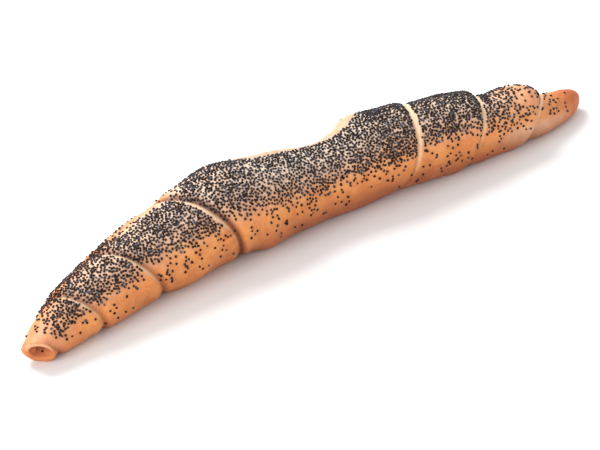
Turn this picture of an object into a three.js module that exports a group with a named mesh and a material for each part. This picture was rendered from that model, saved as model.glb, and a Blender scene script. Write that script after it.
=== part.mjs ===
// A long poppy-seed bread roll: a tapering strip of dough wound into a slim, slightly bowed
// spindle. The strip's edge shows as a spiral shoulder that climbs from both ends to one
// long lap along the back. The whole roll is one baked body. Millimetres, +Z up.
import * as THREE from 'three';

// ---- driving dimensions (mm, degrees) ----
// Along the roll: station x runs from the open end to the pointed end.
// Around the roll: angle 0 faces -Y, 90 is the top, 180 faces +Y, -90 is the underside.
const OPEN_END_X = -1.5;
const POINT_X = 281.4;
const POINT_ROUNDING_X = 272;
const POINT_FULLNESS = 2.4;
const AXIS_HEIGHT_PER_RADIUS = 0.88;

// [station, sideways bow of the axis]
const BOW = [
  [-4, -3.8], [8, 1.2], [32, 6.4], [60, 10.4], [90, 12.4], [120, 11.8],
  [160, 9.0], [200, 4.6], [240, -0.8], [260, -2.8], [284, 0.1],
];
// [station, radius of the wound dough]
const RADIUS = [
  [-4, 5.8], [1, 6.8], [8, 8.4], [15, 10.1], [31, 12.7], [47, 14.5], [63, 15.8],
  [79, 17.0], [95, 18.0], [110, 18.2], [127, 17.2], [144, 16.2], [161, 16.9],
  [175, 17.6], [192, 16.9], [211, 15.7], [228, 14.2], [245, 12.2],
  [256, 9.2], [266, 7.4], [275, 5.8], [284, 4.9],
];
// [station, rise of the underside above the table]
const LIFT = [[-4, 0.7], [20, 0], [120, 0], [240, 0], [262, 0.2], [284, 0.8]];

// The free edge of the strip as [station, unwound angle]. It spirals in from the open end,
// runs along the back as the last lap, then spirals the other way out to the point.
const STRIP_EDGE = [
  [-2, 400], [6, 304], [16.8, 99], [26.5, -25], [39.5, -244], [57, -382], [78, -600],
  [92, -696], [97, -742], [106, -830], [111, -900], [117, -938], [127, -950], [146, -951],
  [156, -951], [163, -938], [169, -893], [175, -820], [182.5, -739], [192.5, -618], [214, -394],
  [225, -272], [245, -19], [256, 83], [264, 180], [268, 260],
];
// [station, height of the shoulder where one turn lies over the next]
const SHOULDER = [
  [-2, 1.2], [20, 1.6], [55, 1.8], [95, 3.0], [110, 1.8], [120, 0.6], [155, 0.6],
  [180, 1.6], [215, 3.0], [250, 3.4], [262, 2.0], [270, 0],
];
const SHOULDER_REACH = 14;
// [station, depth of the crease along the strip's edge]
const CREASE = [
  [-2, 0.8], [20, 1.2], [55, 1.5], [95, 1.9], [112, 1.6], [150, 1.6],
  [180, 0.9], [215, 1.1], [250, 1.2], [262, 0.8], [270, 0],
];
const CREASE_HALF_WIDTH = 2;

// Local swellings: [station, angle, height, half length, half angle]
const SWELLINGS = [
  [62, -48, -1.2, 4.5, 35], [73, -30, 1.2, 9, 35], [88, -42, -0.8, 8, 38],
  [105, -50, -2.4, 6, 38], [114, -32, 1.5, 13, 38], [101, 118, 2.5, 13, 48],
  [150, 148, -3.8, 14, 38], [168.5, 118, 2.4, 6.5, 45], [178, -40, -1.3, 10, 40],
  [216, 95, 0.5, 7, 50], [232, 112, -2.1, 8, 45], [252, 95, 1.5, 7, 55], [262, 95, -0.9, 6, 60],
];
const UNEVENNESS = 0.22;

// The open end is cut on a slant, with a rounded lip around a shallow hollow.
const OPEN_END_SLANT_SIDE = 2.2;
const OPEN_END_SLANT_TOP = -2.6;
const SLANT_REACH = 16;
const LIP_SWELL = 0.9;
const OPENING_HALF_WIDTH = 4.4;
const OPENING_HALF_HEIGHT = 4.3;
const OPENING_RISE = -0.1;
const OPENING_TO_NEAR = 0.9;
const HOLLOW_DEPTH = 9;
const LIP_STEPS = 4;
const HOLLOW_STEPS = 4;

const STATIONS = 146;
const SIDES = 40;
const EDGE_SAMPLES = 1500;

// Smooth value through a list of [x, y] knots
function through(knots, x) {
  const last = knots.length - 1;
  const at = Math.min(Math.max(x, knots[0][0]), knots[last][0]);
  let i = 0;
  while (i < last - 1 && at > knots[i + 1][0]) i += 1;
  const slopeAt = (k) => {
    const before = knots[Math.max(k - 1, 0)];
    const after = knots[Math.min(k + 1, last)];
    return (after[1] - before[1]) / (after[0] - before[0]);
  };
  const width = knots[i + 1][0] - knots[i][0];
  const u = (at - knots[i][0]) / width;
  const rise = 3 * u * u - 2 * u * u * u;
  const leave = (u * u * u - 2 * u * u + u) * width * slopeAt(i);
  const arrive = (u * u * u - u * u) * width * slopeAt(i + 1);
  return (1 - rise) * knots[i][1] + rise * knots[i + 1][1] + leave + arrive;
}

function radiusAt(x) {
  const full = through(RADIUS, x);
  const run = Math.min(Math.max((x - POINT_ROUNDING_X) / (POINT_X - POINT_ROUNDING_X), 0), 1);
  return full * Math.sqrt(Math.max(1 - run ** POINT_FULLNESS, 0));
}

// A point on the round of the dough at a station and angle, moved outward by `out`
function pointAt(x, angle, out) {
  const slope = through(BOW, x + 0.5) - through(BOW, x - 0.5);
  const along = 1 / Math.hypot(1, slope);
  const across = slope * along;
  const radius = radiusAt(x);
  const reach = Math.max(radius + out, 0);
  const turn = angle * Math.PI / 180;
  return new THREE.Vector3(
    x + reach * Math.cos(turn) * across,
    through(BOW, x) - reach * Math.cos(turn) * along,
    AXIS_HEIGHT_PER_RADIUS * through(RADIUS, x) + through(LIFT, x) + reach * Math.sin(turn),
  );
}

// The strip's edge laid out on the dough, each sample with the direction of the upper layer
function layOutEdge() {
  const stationKnots = STRIP_EDGE.map((knot, i) => [i, knot[0]]);
  const angleKnots = STRIP_EDGE.map((knot, i) => [i, knot[1]]);
  const samples = [];
  for (let i = 0; i < EDGE_SAMPLES; i += 1) {
    const t = i / (EDGE_SAMPLES - 1) * (STRIP_EDGE.length - 1);
    const x = through(stationKnots, t);
    const angle = through(angleKnots, t);
    samples.push({ x, point: pointAt(x, angle, 0), above: pointAt(x, angle, 1) });
  }
  samples.forEach((sample, i) => {
    const before = samples[Math.max(i - 1, 0)].point;
    const after = samples[Math.min(i + 1, EDGE_SAMPLES - 1)].point;
    const ahead = after.clone().sub(before);
    sample.upperSide = sample.above.clone().sub(sample.point).cross(ahead).normalize();
  });
  return samples;
}
const stripEdge = layOutEdge();

// Height of the surface over the plain round: shoulder, crease, swellings, unevenness
function reliefAt(x, angle) {
  const point = pointAt(x, angle, 0);
  let nearest = stripEdge[0];
  let distance = Infinity;
  for (const sample of stripEdge) {
    const gap = sample.point.distanceToSquared(point);
    if (gap < distance) {
      distance = gap;
      nearest = sample;
    }
  }
  distance = Math.sqrt(distance);
  const side = point.clone().sub(nearest.point).dot(nearest.upperSide) > 0 ? 1 : -1;
  const reach = Math.max(1 - distance / SHOULDER_REACH, 0) ** 2;
  const shoulder = 0.5 * side * through(SHOULDER, nearest.x) * reach;
  const settle = 1 - Math.exp(-distance / CREASE_HALF_WIDTH);
  const crease = -through(CREASE, nearest.x) * (1 - settle);
  let swelling = 0;
  for (const [atX, atAngle, height, halfLength, halfAngle] of SWELLINGS) {
    const turn = (((angle - atAngle + 180) % 360) + 360) % 360 - 180;
    swelling += height * Math.exp(-(((x - atX) / halfLength) ** 2) - ((turn / halfAngle) ** 2));
  }
  const waves = Math.sin(x * 0.21 + 1.3) * Math.sin(angle * 0.035 + x * 0.05)
    + Math.sin(x * 0.11 - 0.6 + angle * 0.0524);
  return shoulder * settle + crease + swelling + UNEVENNESS * waves;
}

// Ring of points around the roll
function ring(x) {
  const points = [];
  const slant = Math.max(1 - (x - OPEN_END_X) / SLANT_REACH, 0);
  for (let j = 0; j < SIDES; j += 1) {
    const angle = j * 360 / SIDES;
    const turn = angle * Math.PI / 180;
    const side = OPEN_END_SLANT_SIDE * Math.cos(turn);
    const top = OPEN_END_SLANT_TOP * Math.sin(turn);
    const station = x + (side + top) * slant * slant;
    const point = pointAt(station, angle, reliefAt(station, angle));
    point.z = Math.max(point.z, 0);
    points.push(point);
  }
  return points;
}

function centreOf(points) {
  const sum = new THREE.Vector3();
  points.forEach((point) => sum.add(point));
  return sum.divideScalar(points.length);
}

// Rings of the open end: over the rounded lip, then down into a shallow hollow
function endRings(first) {
  const centre = centreOf(first);
  const toNear = first[0].clone().sub(centre).normalize();
  const outward = first[SIDES / 4].clone().sub(centre).cross(toNear).normalize();
  if (outward.x > 0) outward.negate();
  const toTop = outward.clone().cross(toNear);
  if (toTop.z < 0) toTop.negate();
  const opening = first.map((point, j) => {
    const turn = j * 2 * Math.PI / SIDES;
    const rise = OPENING_RISE + OPENING_HALF_HEIGHT * Math.sin(turn);
    const near = OPENING_TO_NEAR + OPENING_HALF_WIDTH * Math.cos(turn);
    return centre.clone().addScaledVector(toTop, rise).addScaledVector(toNear, near);
  });
  const rings = [];
  for (let step = 1; step <= LIP_STEPS; step += 1) {
    const swing = Math.PI * step / LIP_STEPS;
    const share = 0.5 * (1 - Math.cos(swing));
    const swell = LIP_SWELL * Math.sin(swing);
    rings.push(first.map((point, j) => (
      point.clone().lerp(opening[j], share).addScaledVector(outward, swell)
    )));
  }
  for (let step = 1; step <= HOLLOW_STEPS; step += 1) {
    const share = step / HOLLOW_STEPS;
    const narrowing = 1 - 0.85 * share ** 2.5;
    rings.push(opening.map((point) => (
      centre.clone().lerp(point, narrowing).addScaledVector(outward, -HOLLOW_DEPTH * share)
    )));
  }
  return rings.reverse();
}

function buildRings() {
  const rings = [];
  for (let i = 0; i <= STATIONS; i += 1) {
    const even = i / STATIONS;
    // stations crowd together where the point rounds off
    const crowded = 1 - (1 - even) ** 1.25;
    const x = OPEN_END_X + 0.4 + (POINT_X - 0.1 - OPEN_END_X - 0.4) * crowded;
    rings.push(ring(x));
  }
  return endRings(rings[0]).concat(rings);
}

// One closed skin: rings joined edge to edge, a fan at each end
function skin(rings) {
  const positions = [];
  const triangle = (a, b, c) => {
    positions.push(a.x, a.y, a.z, b.x, b.y, b.z, c.x, c.y, c.z);
  };
  const first = rings[0];
  const last = rings[rings.length - 1];
  const floor = centreOf(first);
  const tip = centreOf(last);
  for (let j = 0; j < SIDES; j += 1) {
    const k = (j + 1) % SIDES;
    triangle(floor, first[j], first[k]);
    for (let i = 0; i < rings.length - 1; i += 1) {
      triangle(rings[i][j], rings[i + 1][j], rings[i + 1][k]);
      triangle(rings[i][j], rings[i + 1][k], rings[i][k]);
    }
    triangle(last[j], tip, last[k]);
  }
  const geometry = new THREE.BufferGeometry();
  geometry.setAttribute('position', new THREE.Float32BufferAttribute(positions, 3));
  return geometry;
}

const geometry = skin(buildRings());
// Origin: centre of the underside of the bounding box
geometry.computeBoundingBox();
const box = geometry.boundingBox;
geometry.translate(-(box.min.x + box.max.x) / 2, -(box.min.y + box.max.y) / 2, -box.min.z);
geometry.computeVertexNormals();

const crust = new THREE.MeshStandardMaterial({ color: 0xd9935a, roughness: 0.55, metalness: 0 });
const roll = new THREE.Mesh(geometry, crust);
roll.name = 'bread_roll';

const group = new THREE.Group();
group.name = 'bread_roll_long';
group.add(roll);
export default group;
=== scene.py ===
"""A long poppy-seed bread roll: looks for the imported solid, in metres, +Z up."""
import math

import bpy
import numpy as np
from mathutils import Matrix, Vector, noise
from mathutils.kdtree import KDTree


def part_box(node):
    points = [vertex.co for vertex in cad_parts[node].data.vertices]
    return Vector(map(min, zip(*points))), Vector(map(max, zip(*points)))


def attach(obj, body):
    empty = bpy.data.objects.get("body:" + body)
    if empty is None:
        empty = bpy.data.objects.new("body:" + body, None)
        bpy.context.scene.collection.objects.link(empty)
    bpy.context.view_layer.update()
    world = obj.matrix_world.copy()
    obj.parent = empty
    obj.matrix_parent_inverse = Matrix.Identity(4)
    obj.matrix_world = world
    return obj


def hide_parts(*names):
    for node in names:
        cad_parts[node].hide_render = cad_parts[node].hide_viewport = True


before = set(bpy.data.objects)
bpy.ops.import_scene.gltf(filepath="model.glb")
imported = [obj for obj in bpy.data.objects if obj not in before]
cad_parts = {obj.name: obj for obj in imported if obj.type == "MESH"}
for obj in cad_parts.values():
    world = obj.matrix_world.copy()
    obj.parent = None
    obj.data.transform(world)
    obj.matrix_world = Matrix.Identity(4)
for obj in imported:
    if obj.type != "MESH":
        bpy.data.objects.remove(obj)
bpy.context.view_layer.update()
CAD_LOW, CAD_HIGH = (np.array(corner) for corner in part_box("bread_roll"))
MM = 0.001

# ---------------------------------------------------------------- driving dimensions (mm, deg)
# Station x runs from the open end to the point. Angle 0 faces -Y, 90 is the top.
OPEN_END_X = -1.5
POINT_X = 281.4
POINT_ROUNDING_X = 272
POINT_FULLNESS = 2.4
AXIS_HEIGHT_PER_RADIUS = 0.88

BOW = [
    (-4, -3.8), (8, 1.2), (32, 6.4), (60, 10.4), (90, 12.4), (120, 11.8),
    (160, 9.0), (200, 4.6), (240, -0.8), (260, -2.8), (284, 0.1),
]
RADIUS = [
    (-4, 5.8), (1, 6.8), (8, 8.4), (15, 10.1), (31, 12.7), (47, 14.5), (63, 15.8),
    (79, 17.0), (95, 18.0), (110, 18.2), (127, 17.2), (144, 16.2), (161, 16.9),
    (175, 17.6), (192, 16.9), (211, 15.7), (228, 14.2), (245, 12.2),
    (256, 9.2), (266, 7.4), (275, 5.8), (284, 4.9),
]
LIFT = [(-4, 0.7), (20, 0), (120, 0), (240, 0), (262, 0.2), (284, 0.8)]
# The strip's free edge as (station, unwound angle), from the open end to the point
STRIP_EDGE = [
    (-2, 400), (6, 304), (16.8, 99), (26.5, -25), (39.5, -244), (57, -382), (78, -600),
    (92, -696), (97, -742), (106, -830), (111, -900), (117, -938), (127, -950), (146, -951),
    (156, -951), (163, -938), (169, -893), (175, -820), (182.5, -739), (192.5, -618), (214, -394),
    (225, -272), (245, -19), (256, 83), (264, 180), (268, 260),
]
SHOULDER = [
    (-2, 1.2), (20, 1.6), (55, 1.8), (95, 3.0), (110, 1.8), (120, 0.6), (155, 0.6),
    (180, 1.6), (215, 3.0), (250, 3.4), (262, 2.0), (270, 0),
]
CREASE = [
    (-2, 0.8), (20, 1.2), (55, 1.5), (95, 1.9), (112, 1.6), (150, 1.6),
    (180, 0.9), (215, 1.1), (250, 1.2), (262, 0.8), (270, 0),
]
SHOULDER_REACH = 14.0
# How the crease rises to the layer above it and to the layer below it
CREASE_WIDTH_ABOVE = 1.7
CREASE_SHARPNESS_ABOVE = 1.2
CREASE_WIDTH_BELOW = 1.1
CREASE_SHARPNESS_BELOW = 1.6
# Low lip beside the crease, on the lower layer, as a share of the crease's depth
LOWER_LIP_SHARE = 0.32
LOWER_LIP_GAP = 2.6
LOWER_LIP_HALF_WIDTH = 2.2
# Bare pale edge of the tongue, along the far top of the waist and up the step: (station, angle)
TONGUE_RIM = [
    (103, 132), (112, 120), (125, 115), (138, 111), (150, 107), (158, 106), (163, 109),
    (168, 117), (172, 128),
]
TONGUE_RIM_HALF_WIDTH = 3.4
# Local swellings: station, angle, height, half length, half angle
SWELLINGS = [
    (62, -48, -1.2, 4.5, 35), (73, -30, 1.2, 9, 35), (88, -42, -0.8, 8, 38),
    (105, -50, -2.4, 6, 38), (114, -32, 1.5, 13, 38), (101, 118, 2.5, 13, 48),
    (150, 148, -3.8, 14, 38), (168.5, 118, 2.4, 6.5, 45), (178, -40, -1.3, 10, 40),
    (216, 95, 0.5, 7, 50), (232, 112, -2.1, 8, 45), (252, 95, 1.5, 7, 55), (262, 95, -0.9, 6, 60),
]
UNEVENNESS = 0.22
# Small lumps in the crust: size across, height and noise seed
LUMPS = [(9.0, 0.28, 1), (3.2, 0.10, 2)]
# How softly the underside turns into the flat it rests on
FLAT_SOFTNESS = 0.5
FLAT_FADE = 4

OPEN_END_SLANT_SIDE = 2.2
OPEN_END_SLANT_TOP = -2.6
SLANT_REACH = 16
LIP_SWELL = 0.9
OPENING_HALF_WIDTH = 4.4
OPENING_HALF_HEIGHT = 4.3
OPENING_RISE = -0.1
OPENING_TO_NEAR = 0.9
HOLLOW_DEPTH = 9.0
HOLLOW_NARROWING = 0.9
HOLLOW_ROUNDING = 2.5
# The strip's inner end shows in the hollow as a step at this angle
INNER_END_ANGLE = 238
INNER_END_THICKNESS = 0.3

# Rings along the roll, crowded towards the point by this power, and points in each
ROWS = 458
ROW_CROWDING = 1.2
FIRST_RING_INSET = 0.4
LAST_RING_INSET = 0.04
TIP_PAST_LAST_RING = 0.03
SIDES = 200
LIP_STEPS = 12
HOLLOW_STEPS = 24
EDGE_SAMPLES = 3000
RIM_SAMPLES = 400

# Width of the pale strip beside the edge, on the lower layer
PALE_BAND = [
    (-2, 0.6), (20, 1.6), (45, 2.0), (86, 2.6), (91.5, 2.5), (93, 1.0), (94.5, 2.2),
    (110, 3.2), (158, 4.6), (182, 3.0), (215, 2.2), (250, 1.7), (268, 1.2),
]
# How far the dark line of painted shade in the crease lies into the upper layer, and how dark it
# is
DARK_LINE_SHIFT = [(-2, 0.1), (20, 0.2), (60, 0.3), (90, 0.6), (108, 0.5), (130, 0.1), (270, 0.1)]
DARK_LINE = [
    (-2, 0.5), (20, 0.5), (60, 0.6), (95, 1.0), (112, 0.7), (170, 0.5), (185, 0.15),
    (250, 0.3), (262, 0.4), (270, 0),
]
DARK_LINE_HALF_WIDTH = 0.8
DARKER_WALL_END_X = 112
# Strength of the browner underside along the roll, partly painted shade on the lower flank
UNDERSIDE_BROWN = [(0, 0.55), (90, 0.7), (125, 1.25), (200, 1.25), (230, 1.0), (280, 0.6)]
# Cream crust of the top: its far limit as an angle, and its strength
CREAM_FAR_LIMIT = [(0, 90), (60, 100), (90, 112), (110, 140), (280, 140)]
CREAM = [
    (0, 0.25), (12, 0.42), (20, 0.6), (60, 0.78), (95, 0.85), (120, 1.0), (155, 1.0),
    (180, 0.85), (220, 0.82), (235, 0.55), (248, 0.25), (262, 0.15), (272, 0),
]

SEED_RANDOM = 47
# A seed of unit length: rings as (place along it, reach), its bend, width and height
SEED_SIDES = 7
SEED_RINGS = [(-0.34, 0.33), (0.0, 0.47), (0.34, 0.33)]
SEED_TIP_HEIGHT = -0.05
SEED_BEND = 0.16
SEED_WIDTH = 0.9
SEED_HEIGHT = 0.8
SEED_LENGTH = 1.24
SEED_LENGTH_SPREAD = 0.08
SEED_LENGTH_LIMITS = (0.8, 1.2)
SEED_TILT_SPREAD = 0.28
# How far a seed stands out of the crust, as a share of its length
SEED_LIFT = (-0.02, 0.17)
SEED_SPACING = 0.92
SEED_SPACING_SPREAD = (0.88, 1.15)
# The seeds lie further apart round this station: station, half length, extra spacing
WIDER_SPACING = (124, 26, 0.12)
SEED_TRIES = 240000
SEED_TRY_X = (2, POINT_X - 3)
SEED_TRY_ANGLES = (-35, 200)
# Tries are thinned in step with the roll's radius, and all kept at this one
EVERY_TRY_RADIUS = 18.5
CHANCE_RISE = 0.09
FULL_COVER = 0.99995
# Dark seeds are the most common, and most seeds are more or less brown
SEED_TONE = (0.9, 2.9)
BROWN_SHARE = 0.68
BROWN_LOWEST = 0.4
# Distance and angle over which the slope of the crust is taken under a seed
SLOPE_STEP = 0.35
SLOPE_TURN = 1.2
# The seed in the open end: rings above the hollow's floor, and share of a turn
CAUGHT_SEED_RING = HOLLOW_STEPS - 6
CAUGHT_SEED_TURN = 0.74

# Angles between which the seeds lie, how softly that ends (outside, inside), and the cover
SEED_LOWER_LIMIT = [
    (0, 30), (12, 38), (22, 42), (40, 30), (48, 43), (62, 37), (75, 33), (85, 34),
    (100, 38), (115, 30), (150, 28), (180, 24), (196, 34), (222, 30),
    (228, 22), (240, 18), (252, 26), (262, 30), (270, 40),
]
SEED_UPPER_LIMIT = [
    (0, 100), (6, 120), (12, 146), (30, 142), (42, 130), (50, 114), (60, 105), (72, 102),
    (84, 108), (94, 126), (105, 132), (120, 122), (150, 120), (166, 124), (174, 140),
    (200, 150), (240, 140), (270, 120),
]
SEED_LOWER_FADE = (18, 10)
SEED_UPPER_FADE = (16, 10)
STRAY_COVER = 0.08
SEED_COVER = [
    (0, 0.35), (5, 0.6), (8, 0.85), (18, 0.92), (60, 0.90), (90, 0.92),
    (120, 0.97), (200, 1.0), (226, 0.90), (238, 0.50), (247, 0.16), (256, 0.16),
    (260, 0.27), (265, 0.12), (269, 0.02), (276, 0),
]
# Patches with more seeds: station, angle, extra cover, half length, half angle
DENSE_PATCHES = [(50, 74, 0.35, 7, 24), (93, 88, 0.35, 9, 30), (251, 105, 0.34, 5, 26)]
# The seeds are kept as three pieces, split at these stations
SEED_SPLIT_X = (92, 176)


# ---------------------------------------------------------------- shape of the dough
def through(knots, x):
    """Smooth value through a list of (x, y) knots."""
    table = np.array(knots, float)
    kx, ky = table[:, 0], table[:, 1]
    last = len(kx) - 1
    after = np.minimum(np.arange(last + 1) + 1, last)
    before = np.maximum(np.arange(last + 1) - 1, 0)
    slope = (ky[after] - ky[before]) / (kx[after] - kx[before])
    x = np.clip(np.asarray(x, float), kx[0], kx[-1])
    i = np.clip(np.searchsorted(kx, x) - 1, 0, last - 1)
    width = kx[i + 1] - kx[i]
    u = (x - kx[i]) / width
    rise = 3 * u ** 2 - 2 * u ** 3
    leave = (u ** 3 - 2 * u ** 2 + u) * width * slope[i]
    arrive = (u ** 3 - u ** 2) * width * slope[i + 1]
    return (1 - rise) * ky[i] + rise * ky[i + 1] + leave + arrive


def smooth(low, high, x):
    """Soft step from 0 at `low` to 1 at `high`."""
    u = np.clip((np.asarray(x, float) - low) / (high - low), 0, 1)
    return u * u * (3 - 2 * u)


def bell(x, centre, half):
    """Bell curve, 1 at `centre`."""
    return np.exp(-((np.asarray(x, float) - centre) / half) ** 2)


def unit(vectors):
    return vectors / np.linalg.norm(vectors, axis=-1, keepdims=True)


def turn_gap(angle, centre):
    """Angle from `centre`, from -180 to 180."""
    return (angle - centre + 180) % 360 - 180


def radius_at(x):
    """Radius of the dough, closing to nothing at the point."""
    run = np.clip((x - POINT_ROUNDING_X) / (POINT_X - POINT_ROUNDING_X), 0, 1)
    return through(RADIUS, x) * np.sqrt(np.maximum(1 - run ** POINT_FULLNESS, 0))


def point_at(x, angle, out):
    """Point on the round of the dough, moved outward by `out`, in mm."""
    slope = through(BOW, x + 0.5) - through(BOW, x - 0.5)
    along = 1 / np.hypot(1, slope)
    across = slope * along
    reach = np.maximum(radius_at(x) + out, 0)
    turn = np.radians(angle)
    return np.stack([
        x + reach * np.cos(turn) * across,
        through(BOW, x) - reach * np.cos(turn) * along,
        AXIS_HEIGHT_PER_RADIUS * through(RADIUS, x) + through(LIFT, x) + reach * np.sin(turn),
    ], -1)


def along_curve(knots, samples):
    """Stations and angles of samples on a curve through (station, angle) knots."""
    order = np.arange(len(knots))
    t = np.linspace(0, len(knots) - 1, samples)
    table = np.array(knots, float)
    x = through(np.c_[order, table[:, 0]], t)
    angle = through(np.c_[order, table[:, 1]], t)
    return x, angle


def search_tree(points):
    """Tree that finds the nearest of the points."""
    tree = KDTree(len(points))
    for index, point in enumerate(points):
        tree.insert(point, index)
    tree.balance()
    return tree


def lay_out_edge():
    """Stations and points along the strip's edge, and the direction of the upper layer there."""
    x, angle = along_curve(STRIP_EDGE, EDGE_SAMPLES)
    points = point_at(x, angle, 0)
    ahead = np.gradient(points, axis=0)
    upper = unit(np.cross(point_at(x, angle, 1) - points, ahead))
    return x, points, upper


EDGE_X, EDGE_POINTS, EDGE_UPPER = lay_out_edge()
EDGE_TREE = search_tree(EDGE_POINTS)
RIM_TREE = search_tree(point_at(*along_curve(TONGUE_RIM, RIM_SAMPLES), 0))


def edge_distance(x, angle):
    """Signed distance to the strip's edge (+ on the upper layer), and the nearest sample."""
    points = point_at(x, angle, 0)
    flat = points.reshape(-1, 3)
    nearest = np.array([EDGE_TREE.find(point)[1] for point in flat])
    away = flat - EDGE_POINTS[nearest]
    side = np.where((away * EDGE_UPPER[nearest]).sum(1) > 0, 1.0, -1.0)
    distance = np.linalg.norm(away, axis=1) * side
    return distance.reshape(x.shape), nearest.reshape(x.shape)


def rim_distance(x, angle):
    """Distance to the middle of the tongue's bare rim."""
    flat = point_at(x, angle, 0).reshape(-1, 3)
    return np.array([RIM_TREE.find(point)[2] for point in flat]).reshape(x.shape)


def clouds(points, size, seed):
    """Soft noise from -1 to 1 with features about `size` mm across."""
    flat = points.reshape(-1, 3) / size + np.array([seed * 17.3, seed * 5.1, seed * 9.7])
    values = np.array([noise.noise(point) for point in flat])
    return values.reshape(points.shape[:-1])


def relief(x, angle, distance, nearest):
    """Height of the crust over the plain round."""
    gap = np.abs(distance)
    reach = np.clip(1 - gap / SHOULDER_REACH, 0, 1) ** 2
    shoulder = 0.5 * through(SHOULDER, EDGE_X[nearest]) * reach
    depth = through(CREASE, EDGE_X[nearest])
    upper_slope = 1 - np.exp(-(gap / CREASE_WIDTH_ABOVE) ** CREASE_SHARPNESS_ABOVE)
    upper = (shoulder + depth) * upper_slope - depth
    lower_slope = 1 - np.exp(-(gap / CREASE_WIDTH_BELOW) ** CREASE_SHARPNESS_BELOW)
    lower_lip = LOWER_LIP_SHARE * depth * bell(gap, LOWER_LIP_GAP, LOWER_LIP_HALF_WIDTH)
    lower = (-shoulder + depth) * lower_slope - depth + lower_lip
    height = np.where(distance > 0, upper, lower)
    for at_x, at_angle, rise, half_length, half_angle in SWELLINGS:
        turn = turn_gap(angle, at_angle)
        height = height + rise * bell(x, at_x, half_length) * bell(turn, 0, half_angle)
    # two long waves, across each other, so that no stretch is quite round
    waves = np.sin(x * 0.21 + 1.3) * np.sin(angle * 0.035 + x * 0.05)
    waves = waves + np.sin(x * 0.11 - 0.6 + angle * 0.0524)
    round_points = point_at(x, angle, 0)
    lumps = sum(rise * clouds(round_points, size, seed) for size, rise, seed in LUMPS)
    return height + UNEVENNESS * waves + lumps


def rest_on_table(points):
    """Soft flat where the dough sat on the tray."""
    soft = FLAT_SOFTNESS
    z = points[..., 2]
    sunk = 0.5 * soft * np.exp(-np.abs(z) / FLAT_FADE)
    points[..., 2] = 0.5 * (z + np.sqrt(z * z + soft * soft)) - sunk
    points[..., 2] = np.maximum(points[..., 2], 0)
    return points


def slanted(x, angle):
    """Station moved by the slant of the open end."""
    fade = np.maximum(1 - (x - OPEN_END_X) / SLANT_REACH, 0) ** 2
    turn = np.radians(angle)
    return x + (OPEN_END_SLANT_SIDE * np.cos(turn) + OPEN_END_SLANT_TOP * np.sin(turn)) * fade


def surface(x, angle):
    """Crust point, signed distance to the strip's edge and nearest edge sample."""
    distance, nearest = edge_distance(x, angle)
    points = point_at(x, angle, relief(x, angle, distance, nearest))
    return rest_on_table(points), distance, nearest


# ---------------------------------------------------------------- crust grid
ring_angles = np.arange(SIDES) * 360 / SIDES


def crust_grid():
    """Rings from the open end to the point: stations, angles, points and the strip's edge."""
    even = np.linspace(0, 1, ROWS)
    start = OPEN_END_X + FIRST_RING_INSET
    length = POINT_X - LAST_RING_INSET - OPEN_END_X - FIRST_RING_INSET
    rows = start + length * (1 - (1 - even) ** ROW_CROWDING)
    x, angle = np.meshgrid(rows, ring_angles, indexing="ij")
    x = slanted(x, angle)
    points, distance, nearest = surface(x, angle)
    return x, angle, points, distance, nearest


def open_end_rings(first):
    """Rings of the open end, from the bottom of the hollow out over the rounded lip."""
    centre = first.mean(0)
    to_near = first[0] - centre
    to_near /= np.linalg.norm(to_near)
    outward = np.cross(first[SIDES // 4] - centre, to_near)
    outward /= np.linalg.norm(outward)
    if outward[0] > 0:
        outward = -outward
    to_top = np.cross(outward, to_near)
    to_top *= np.sign(to_top[2])
    turn = np.radians(ring_angles)[:, None]
    opening = centre + OPENING_RISE * to_top + OPENING_TO_NEAR * to_near
    opening = opening + OPENING_HALF_WIDTH * np.cos(turn) * to_near
    opening = opening + OPENING_HALF_HEIGHT * np.sin(turn) * to_top
    rings = []
    for step in range(1, LIP_STEPS + 1):
        swing = math.pi * step / LIP_STEPS
        share = 0.5 * (1 - math.cos(swing))
        rings.append(first * (1 - share) + opening * share + outward * LIP_SWELL * math.sin(swing))
    winding = ((ring_angles - INNER_END_ANGLE) % 360) / 360
    winding = (winding * (1 - smooth(0.94, 1.0, winding)))[:, None]
    for step in range(1, HOLLOW_STEPS + 1):
        share = step / HOLLOW_STEPS
        inner_end = 1 - INNER_END_THICKNESS * winding * smooth(0.02, 0.3, share)
        narrowing = (1 - HOLLOW_NARROWING * share ** HOLLOW_ROUNDING) * inner_end
        rings.append(centre + (opening - centre) * narrowing - outward * HOLLOW_DEPTH * share)
    rings = np.array(rings[::-1])
    rings[..., 2] = np.maximum(rings[..., 2], 0)
    return rings


grid_x, grid_angle, grid_points, grid_distance, grid_nearest = crust_grid()
end_points = open_end_rings(grid_points[0])
END_ROWS = len(end_points)
all_points = np.concatenate([end_points, grid_points])
low = all_points.reshape(-1, 3).min(0)
high = all_points.reshape(-1, 3).max(0)
ORIGIN = np.array([(low[0] + high[0]) / 2, (low[1] + high[1]) / 2, 0.0])
CAD_CENTRE = (CAD_LOW + CAD_HIGH) / 2


def to_row(points):
    """Roll coordinates in mm to the row's frame in m, with the roll centred on the solid."""
    placed = (np.asarray(points) - ORIGIN) * MM
    placed[..., 0] += CAD_CENTRE[0]
    placed[..., 1] += CAD_CENTRE[1]
    return placed


def new_object(name, points, faces):
    mesh = bpy.data.meshes.new(name)
    mesh.from_pydata([tuple(p) for p in points], [], faces)
    mesh.validate()
    mesh.shade_smooth()
    made = bpy.data.objects.new(name, mesh)
    bpy.context.scene.collection.objects.link(made)
    return made


def add_attribute(made, name, values):
    """One number for each corner of the mesh, for the material to read."""
    layer = made.data.attributes.new(name, "FLOAT", "POINT")
    layer.data.foreach_set("value", np.asarray(values, np.float32).ravel())


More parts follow.
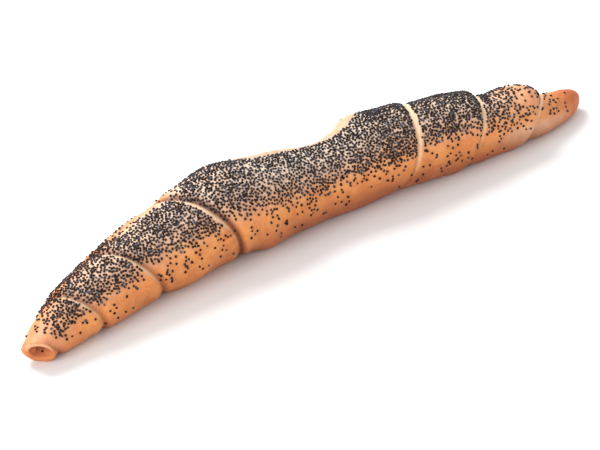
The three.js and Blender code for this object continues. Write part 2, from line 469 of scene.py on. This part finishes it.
def seed_density(x, angle, distance, nearest, points):
    """Share of full seed cover, 0 to 1."""
    lower = through(SEED_LOWER_LIMIT, x)
    upper = through(SEED_UPPER_LIMIT, x)
    lower_out, lower_in = SEED_LOWER_FADE
    upper_out, upper_in = SEED_UPPER_FADE
    window = smooth(lower - lower_out, lower + lower_in, angle)
    window = window * (1 - smooth(upper - upper_in, upper + upper_out, angle))
    # a few strays lie outside, but none beyond the tongue's rim and hardly any at the point
    strays = STRAY_COVER * smooth(-34, 12, angle) * (1 - smooth(160, 195, angle))
    strays = strays * (1 - bell(x, 163, 9) * smooth(110, 125, angle))
    strays = strays * (1 - 0.9 * smooth(262, 270, x)) * (1 - smooth(270, 275, x))
    cover = through(SEED_COVER, x)
    for at_x, at_angle, extra, half_length, half_angle in DENSE_PATCHES:
        cover = cover + extra * bell(x, at_x, half_length) * bell(angle, at_angle, half_angle)
    clumps = np.clip(1.05 + 0.4 * clouds(points, 11, 11) + 0.3 * clouds(points, 4, 12), 0.3, 1.3)
    spots = np.clip(1 + 3 * clouds(points, 7, 14), 0.3, 3)
    share = np.clip(window * cover * clumps + strays * np.minimum(cover + 0.2, 1) * spots, 0, 1)
    ragged = 0.5 * clouds(points, 2.5, 13)
    bare = (distance < 0.4) & (distance > -through(PALE_BAND, EDGE_X[nearest]) + ragged)
    bare |= rim_distance(x, angle) < TONGUE_RIM_HALF_WIDTH + ragged
    return np.where(bare, 0, share)


# ---------------------------------------------------------------- materials
def rgb(r, g, b):
    """Linear colour from 8-bit sRGB values."""
    def linear(v):
        v /= 255
        return v / 12.92 if v <= 0.04045 else ((v + 0.055) / 1.055) ** 2.4
    return (linear(r), linear(g), linear(b), 1.0)


class Nodes:
    """Small helper to build a node tree."""

    def __init__(self, name):
        self.material = bpy.data.materials.new(name)
        self.material.use_nodes = True
        self.tree = self.material.node_tree
        self.shader = self.tree.nodes["Principled BSDF"]
        self.coords = self.tree.nodes.new("ShaderNodeTexCoord").outputs["Object"]

    def link(self, source, target):
        self.tree.links.new(source, target)

    def attribute(self, name):
        node = self.tree.nodes.new("ShaderNodeAttribute")
        node.attribute_name = name
        return node.outputs["Fac"]

    def noise(self, scale, detail, distortion=0.0):
        node = self.tree.nodes.new("ShaderNodeTexNoise")
        node.inputs["Scale"].default_value = scale
        node.inputs["Detail"].default_value = detail
        node.inputs["Distortion"].default_value = distortion
        self.link(self.coords, node.inputs["Vector"])
        return node.outputs["Fac"]

    def spread(self, value, low, high, to_low=0.0, to_high=1.0):
        """Value from `low` to `high` brought to a new range, and held at its ends."""
        node = self.tree.nodes.new("ShaderNodeMapRange")
        node.inputs["From Min"].default_value = low
        node.inputs["From Max"].default_value = high
        node.inputs["To Min"].default_value = to_low
        node.inputs["To Max"].default_value = to_high
        self.link(value, node.inputs["Value"])
        return node.outputs["Result"]

    def times(self, value, factor):
        node = self.tree.nodes.new("ShaderNodeMath")
        node.operation = "MULTIPLY"
        self.link(value, node.inputs[0])
        node.inputs[1].default_value = factor
        return node.outputs["Value"]

    def mix(self, factor, a, b):
        """Colour from `a` at factor 0 to `b` at factor 1."""
        node = self.tree.nodes.new("ShaderNodeMix")
        node.data_type = "RGBA"
        for socket, value in ((node.inputs[0], factor), (node.inputs[6], a), (node.inputs[7], b)):
            if isinstance(value, tuple):
                socket.default_value = value
            else:
                self.link(value, socket)
        return node.outputs[2]

    def mottled(self, scale, detail, low, high, first, second):
        """Colour that wanders between two others."""
        return self.mix(self.spread(self.noise(scale, detail), low, high), first, second)

    def bump(self, height, distance, strength, normal=None):
        node = self.tree.nodes.new("ShaderNodeBump")
        node.inputs["Strength"].default_value = strength
        node.inputs["Distance"].default_value = distance
        self.link(height, node.inputs["Height"])
        if normal:
            self.link(normal, node.inputs["Normal"])
        return node.outputs["Normal"]


def crust_material():
    n = Nodes("crust")
    # golden flanks, with lighter flecks and browner blotches
    golden = n.mottled(95, 4, 0.35, 0.68, rgb(236, 155, 86), rgb(222, 133, 70))
    golden = n.mix(n.spread(n.noise(420, 3), 0.5, 0.75, 0, 0.35), golden, rgb(242, 176, 112))
    blotches = n.spread(n.noise(150, 5, distortion=1.2), 0.50, 0.70, 0, 0.6)
    golden = n.mix(blotches, golden, rgb(200, 106, 56))
    # the tints that the mesh carries, one over the other
    creamy = n.mottled(260, 3, 0.35, 0.7, rgb(229, 211, 193), rgb(219, 196, 172))
    # browner underside colour, partly painted shade on the lower flank
    under = n.mottled(130, 4, 0.35, 0.7, rgb(176, 98, 54), rgb(150, 80, 44))
    colour = n.mix(n.attribute("cream"), golden, creamy)
    colour = n.mix(n.attribute("underside"), colour, under)
    rosy = n.mottled(180, 3, 0.3, 0.7, rgb(202, 102, 54), rgb(176, 80, 40))
    colour = n.mix(n.attribute("rosy"), colour, rosy)
    # pale dough beside the strip's edge, and the painted highlight on the top of the open end's
    # lip
    pale = n.mottled(500, 3, 0.3, 0.7, rgb(247, 216, 184), rgb(240, 196, 154))
    colour = n.mix(n.attribute("pale"), colour, pale)
    dusty = n.mottled(400, 3, 0.3, 0.7, rgb(214, 184, 156), rgb(200, 158, 122))
    colour = n.mix(n.attribute("dusty"), colour, dusty)
    # painted shade, darkest in the creases and deep in the open end's hollow
    colour = n.mix(n.attribute("crease_shade"), colour, rgb(88, 42, 20))
    # small freckles, uneven gloss and fine blisters
    freckles = n.spread(n.noise(1500, 2), 0.58, 0.70, 0, 0.35)
    colour = n.mix(freckles, colour, rgb(186, 104, 56))
    n.link(colour, n.shader.inputs["Base Color"])
    rough = n.spread(n.noise(600, 3), 0.3, 0.7, 0.46, 0.60)
    n.link(rough, n.shader.inputs["Roughness"])
    n.shader.inputs["Specular IOR Level"].default_value = 0.25
    blisters = n.bump(n.noise(700, 4), 0.0003, 0.7)
    grain = n.bump(n.noise(2600, 3), 0.00008, 0.6, blisters)
    n.link(grain, n.shader.inputs["Normal"])
    return n.material


def seed_material():
    n = Nodes("poppy_seeds")
    slate = n.mix(n.attribute("tone"), rgb(14, 7, 5), rgb(108, 118, 138))
    brown = n.mix(n.attribute("warmth"), slate, rgb(46, 19, 11))
    pits = n.spread(n.noise(5200, 2), 0.35, 0.65)
    colour = n.mix(n.times(pits, 0.35), brown, rgb(22, 18, 20))
    n.link(colour, n.shader.inputs["Base Color"])
    n.shader.inputs["Roughness"].default_value = 0.42
    n.shader.inputs["Specular IOR Level"].default_value = 0.2
    n.link(n.bump(pits, 0.00005, 0.7), n.shader.inputs["Normal"])
    return n.material


# ---------------------------------------------------------------- crust object
def crust_faces(rows, tip_index, floor_index):
    """Quads between the rings, with a fan at each end."""
    faces = []
    for i in range(rows - 1):
        a = i * SIDES
        b = a + SIDES
        for j in range(SIDES):
            k = (j + 1) % SIDES
            faces.append((a + j, b + j, b + k, a + k))
    last = (rows - 1) * SIDES
    for j in range(SIDES):
        k = (j + 1) % SIDES
        faces.append((last + j, tip_index, last + k))
        faces.append((j, k, floor_index))
    return faces


def grid_tints():
    """Strength of each tint over the grid, 0 to 1."""
    angle = (grid_angle + 180) % 360 - 180
    over = np.where(angle < -90, angle + 360, angle)
    edge_x = EDGE_X[grid_nearest]
    not_far = 1 - smooth(135, 205, over)

    # dusty rim of the tongue, and the pale strip beside the edge
    rim = rim_distance(grid_x, grid_angle)
    dusty = 1 - smooth(TONGUE_RIM_HALF_WIDTH - 0.6, TONGUE_RIM_HALF_WIDTH + 0.8, rim)
    width = through(PALE_BAND, edge_x) * (0.4 + 0.6 * smooth(-25, 70, over))
    pale = smooth(-width - 0.8, -width + 0.4, grid_distance)
    pale = pale * (1 - smooth(-0.9, -0.2, grid_distance))
    pale = pale * (smooth(-28, 42, angle) * not_far) * (1 - dusty)
    by_open_end = 0.15 * (1 - smooth(3, 18, grid_x))
    pale = np.maximum(pale, by_open_end * (smooth(-60, 30, angle) * not_far))

    # painted shade: dark line in the crease
    across_line = np.abs(grid_distance - through(DARK_LINE_SHIFT, edge_x)) / DARK_LINE_HALF_WIDTH
    crease_shade = np.exp(-across_line ** 2) * through(DARK_LINE, edge_x)

    # browner underside, partly painted shade that darkens the lower flank, and a darker wall of
    # the step near the open end
    downward = -np.sin(np.radians(grid_angle))
    underside = smooth(-0.45, 0.75, downward) * through(UNDERSIDE_BROWN, grid_x)
    darker_wall = 0.45 * smooth(0.0, 0.5, grid_distance) * (1 - smooth(1.2, 3.0, grid_distance))
    darker_wall = darker_wall * (edge_x < DARKER_WALL_END_X)

    # cream crust of the top, and a floury patch on the near side before the point
    far_limit = through(CREAM_FAR_LIMIT, grid_x)
    cream = smooth(8, 75, angle) * (1 - smooth(far_limit, far_limit + 32, np.abs(angle)))
    cream = cream * through(CREAM, grid_x)
    floury = smooth(222, 238, grid_x) * (1 - smooth(262, 272, grid_x))
    floury = floury * (1 - smooth(-5, 30, angle)) * smooth(-75, -45, angle)
    cream = np.maximum(cream, 0.45 * floury)

    # reddish point and open end
    rosy = 0.9 * smooth(253, 279, grid_x) * (0.75 + 0.25 * smooth(-20, 60, angle))
    rosy = np.clip(rosy + 0.4 * (1 - smooth(2, 18, grid_x)), 0, 1)
    underside = np.clip(underside + darker_wall, 0, 1)
    return {"pale": pale, "dusty": dusty, "crease_shade": crease_shade, "underside": underside,
            "cream": cream, "rosy": rosy}


def open_end_tints():
    """Strength of each tint over the open end's rings, and on the floor of the hollow."""
    depth = np.repeat(np.linspace(1, 0, END_ROWS), SIDES)
    from_top = np.abs(turn_gap(np.tile(ring_angles, END_ROWS), 90))
    # painted highlight along the top of the lip, laid into the pale tint
    lip_highlight = 0.4 * bell(depth, 0.12, 0.12) * smooth(-10, 50, 90 - from_top)
    plain = np.zeros(END_ROWS * SIDES)
    # the crease tint here is painted shade, darker deeper into the hollow and on its floor
    return {"pale": (lip_highlight, 0), "dusty": (plain, 0),
            "crease_shade": (smooth(0.42, 0.9, depth) * 0.5, 0.5), "underside": (plain + 0.25, 0),
            "cream": (0.5 * depth, 0.5), "rosy": (0.3 + 0.15 * depth, 0.45)}


# The same at the very point, where the others are 0
POINT_TINTS = {"cream": 0.5, "rosy": 0.9}


def make_crust():
    points = to_row(all_points)
    rows = len(points)
    tip = to_row(grid_points[-1].mean(0) + np.array([TIP_PAST_LAST_RING, 0, 0]))
    floor_point = to_row(all_points[0].mean(0))
    corners = np.vstack([points.reshape(-1, 3), tip, floor_point])
    tip_index = rows * SIDES
    made = new_object("crust", corners, crust_faces(rows, tip_index, tip_index + 1))
    ends = open_end_tints()
    for name, values in grid_tints().items():
        ring_values, floor_value = ends[name]
        closing = [POINT_TINTS.get(name, 0), floor_value]
        add_attribute(made, name, np.concatenate([ring_values, values.ravel(), closing]))
    made.data.materials.append(crust_material())
    return made


# ---------------------------------------------------------------- seeds
def seed_shape():
    """One kidney-shaped seed of unit length: rings across its long axis."""
    points = [(-0.5, 0.0, SEED_TIP_HEIGHT)]
    for along, reach in SEED_RINGS:
        bend = SEED_BEND * (1 - 4 * along * along)
        for j in range(SEED_SIDES):
            turn = 2 * math.pi * j / SEED_SIDES
            across = reach * math.cos(turn) * SEED_WIDTH - bend * 0.5
            points.append((along, across, reach * math.sin(turn) * SEED_HEIGHT))
    points.append((0.5, 0.0, SEED_TIP_HEIGHT))
    faces = []
    for j in range(SEED_SIDES):
        k = (j + 1) % SEED_SIDES
        faces.append((0, 1 + k, 1 + j))
        for r in range(len(SEED_RINGS) - 1):
            a = 1 + r * SEED_SIDES
            b = a + SEED_SIDES
            faces.append((a + j, a + k, b + k, b + j))
        end = 1 + (len(SEED_RINGS) - 1) * SEED_SIDES
        faces.append((end + j, end + k, len(points) - 1))
    return np.array(points), faces


SEED_SHAPE, SEED_FACES = seed_shape()


def has_room(i, gap, cell, cells, points):
    """Whether no chosen seed lies nearer than `gap` to point i."""
    for dx in (-1, 0, 1):
        for dy in (-1, 0, 1):
            for dz in (-1, 0, 1):
                for j in cells.get((cell[0] + dx, cell[1] + dy, cell[2] + dz), ()):
                    if np.sum((points[i] - points[j]) ** 2) < gap ** 2:
                        return False
    return True


def scatter_seeds(rng):
    """Stations, angles and points of the seeds on the crust."""
    x = rng.uniform(*SEED_TRY_X, SEED_TRIES)
    angle = rng.uniform(*SEED_TRY_ANGLES, SEED_TRIES)
    keep = rng.uniform(0, 1, SEED_TRIES) < radius_at(x) / EVERY_TRY_RADIUS
    x, angle = x[keep], angle[keep]
    x = slanted(x, angle)
    points, distance, nearest = surface(x, angle)
    density = seed_density(x, angle, distance, nearest, points)
    # many tries land near an earlier seed, so the chance rises steeply towards full cover
    taken = rng.uniform(0, 1, len(x)) < -CHANCE_RISE * np.log(1 - FULL_COVER * density)
    wider_x, wider_half_length, wider_by = WIDER_SPACING
    spacing = SEED_SPACING * rng.uniform(*SEED_SPACING_SPREAD, len(x))
    spacing = spacing * (1 + wider_by * bell(x, wider_x, wider_half_length))
    # cells of 1 mm, so that neighbours are looked for in a few cells only
    cells = {}
    chosen = []
    for i in np.nonzero(taken)[0]:
        cell = tuple(np.floor(points[i]).astype(int))
        if has_room(i, spacing[i], cell, cells, points):
            cells.setdefault(cell, []).append(i)
            chosen.append(i)
    chosen = np.array(chosen)
    return x[chosen], angle[chosen], points[chosen]


def crust_directions(x, angle, points):
    """Direction along the roll and direction out of the crust at each point."""
    along = surface(x + SLOPE_STEP, angle)[0] - surface(x - SLOPE_STEP, angle)[0]
    around = surface(x, angle + SLOPE_TURN)[0] - surface(x, angle - SLOPE_TURN)[0]
    normal = unit(np.cross(along, around))
    outward = points - point_at(x, angle, -radius_at(x))
    normal *= np.sign((normal * outward).sum(1))[:, None]
    return along, normal


def caught_in_opening():
    """A seed stuck on the lower wall of the hollow, with its directions."""
    ring = end_points[CAUGHT_SEED_RING]
    side = round(CAUGHT_SEED_TURN * SIDES)
    point = ring[side]
    along = end_points[CAUGHT_SEED_RING + 1, side] - point
    normal = unit(np.cross(along, ring[side + 1] - point))
    normal *= np.sign(normal.dot(ring.mean(0) - point))
    return point, along, normal


def seed_corners(rng, points, along, normal):
    """Corners of every seed, each lying at a random turn and a slight tilt on the crust."""
    count = len(points)
    along = unit(along)
    side = np.cross(normal, along)
    spin = rng.uniform(0, 2 * math.pi, count)
    tilt = rng.normal(0, SEED_TILT_SPREAD, count)
    long_axis = along * np.cos(spin)[:, None] + side * np.sin(spin)[:, None]
    long_axis = unit(long_axis * np.cos(tilt)[:, None] + normal * np.sin(tilt)[:, None])
    cross_axis = unit(np.cross(normal, long_axis))
    up_axis = np.cross(long_axis, cross_axis)
    length = SEED_LENGTH * rng.normal(1, SEED_LENGTH_SPREAD, count).clip(*SEED_LENGTH_LIMITS)
    lift = length * rng.uniform(*SEED_LIFT, count)
    turned = (SEED_SHAPE[None, :, 0:1] * long_axis[:, None, :]
              + SEED_SHAPE[None, :, 1:2] * cross_axis[:, None, :]
              + SEED_SHAPE[None, :, 2:3] * up_axis[:, None, :])
    return (points + normal * lift[:, None])[:, None, :] + length[:, None, None] * turned


def make_seeds():
    """The seeds as three pieces, each with a shade and a brownness for every seed."""
    rng = np.random.default_rng(SEED_RANDOM)
    x, angle, points = scatter_seeds(rng)
    along, normal = crust_directions(x, angle, points)
    caught_point, caught_along, caught_normal = caught_in_opening()
    x = np.append(x, 0)
    points = np.vstack([points, caught_point])
    along = np.vstack([along, caught_along])
    normal = np.vstack([normal, caught_normal])
    corners = seed_corners(rng, points, along, normal)
    tone = rng.beta(*SEED_TONE, len(x))
    brown = rng.uniform(0, 1, len(x)) < BROWN_SHARE
    warmth = brown * rng.uniform(BROWN_LOWEST, 1, len(x))
    material = seed_material()
    per_seed = len(SEED_SHAPE)
    made = []
    first_split, second_split = SEED_SPLIT_X
    parts = (("poppy_seeds_open_end", x < first_split),
             ("poppy_seeds_middle", (x >= first_split) & (x < second_split)),
             ("poppy_seeds_point_end", x >= second_split))
    for name, part in parts:
        chosen = np.nonzero(part)[0]
        placed = to_row(corners[chosen]).reshape(-1, 3)
        starts = range(0, len(placed), per_seed)
        faces = [tuple(start + v for v in face) for start in starts for face in SEED_FACES]
        piece = new_object(name, placed, faces)
        add_attribute(piece, "tone", np.repeat(tone[chosen], per_seed))
        add_attribute(piece, "warmth", np.repeat(warmth[chosen], per_seed))
        piece.data.materials.append(material)
        made.append(piece)
    return made


# ---------------------------------------------------------------- studio
CAMERA_AZIMUTH = -40.04
CAMERA_ELEVATION = 34.0
CAMERA_DISTANCE = 1.4
CAMERA_LENS = 210
CAMERA_SENSOR = 36
LOOK_AT = (134.9, 5.9, 0.0)
# Azimuth from the camera, elevation, distance, size, power, colour
LIGHTS = {
    "key": (-135, 50, 1.3, 0.8, 16.5, (1, 0.99, 0.975)),
    "fill": (-40, 26, 1.5, 0.9, 10.5, (1, 1, 1)),
}
LIGHT_AIM_HEIGHT = 0.015
SURROUNDING_LIGHT = 0.75
FLOOR_HALF_WIDTH = 3
FLOOR_GREY = 0.9


def from_angles(azimuth, elevation, distance):
    """Offset at an azimuth from -Y and an elevation, in degrees."""
    a, e = math.radians(azimuth), math.radians(elevation)
    return Vector((math.sin(a) * math.cos(e), -math.cos(a) * math.cos(e), math.sin(e))) * distance


def aim(made, place, target):
    made.location = place
    made.rotation_euler = (target - place).to_track_quat("-Z", "Y").to_euler()


def make_camera():
    data = bpy.data.cameras.new("camera")
    data.lens = CAMERA_LENS
    data.sensor_width = CAMERA_SENSOR
    data.clip_end = 20
    camera = bpy.data.objects.new("camera", data)
    bpy.context.scene.collection.objects.link(camera)
    target = Vector(to_row(np.array(LOOK_AT)))
    aim(camera, target + from_angles(CAMERA_AZIMUTH, CAMERA_ELEVATION, CAMERA_DISTANCE), target)
    bpy.context.scene.camera = camera


def make_light(name, azimuth, elevation, distance, size, power, colour):
    data = bpy.data.lights.new(name, "AREA")
    data.shape = "DISK"
    data.size = size
    data.energy = power
    data.color = colour
    made = bpy.data.objects.new(name, data)
    bpy.context.scene.collection.objects.link(made)
    place = from_angles(CAMERA_AZIMUTH + azimuth, elevation, distance)
    aim(made, place, Vector((0, 0, LIGHT_AIM_HEIGHT)))


def make_studio():
    world = bpy.data.worlds.new("studio")
    world.use_nodes = True
    background = world.node_tree.nodes["Background"]
    background.inputs["Color"].default_value = (1, 1, 1, 1)
    background.inputs["Strength"].default_value = SURROUNDING_LIGHT
    bpy.context.scene.world = world
    for name, settings in LIGHTS.items():
        make_light(name, *settings)
    reach = FLOOR_HALF_WIDTH
    corners = [(-reach, -reach, 0), (reach, -reach, 0), (reach, reach, 0), (-reach, reach, 0)]
    floor = new_object("floor", corners, [(0, 1, 2, 3)])
    n = Nodes("studio_floor")
    n.shader.inputs["Base Color"].default_value = (FLOOR_GREY, FLOOR_GREY, FLOOR_GREY, 1)
    n.shader.inputs["Roughness"].default_value = 0.9
    floor.data.materials.append(n.material)
    bpy.context.scene.view_settings.view_transform = "Standard"


make_camera()
crust = make_crust()
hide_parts("bread_roll")
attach(crust, "root")
for seeds in make_seeds():
    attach(seeds, "root")
make_studio()
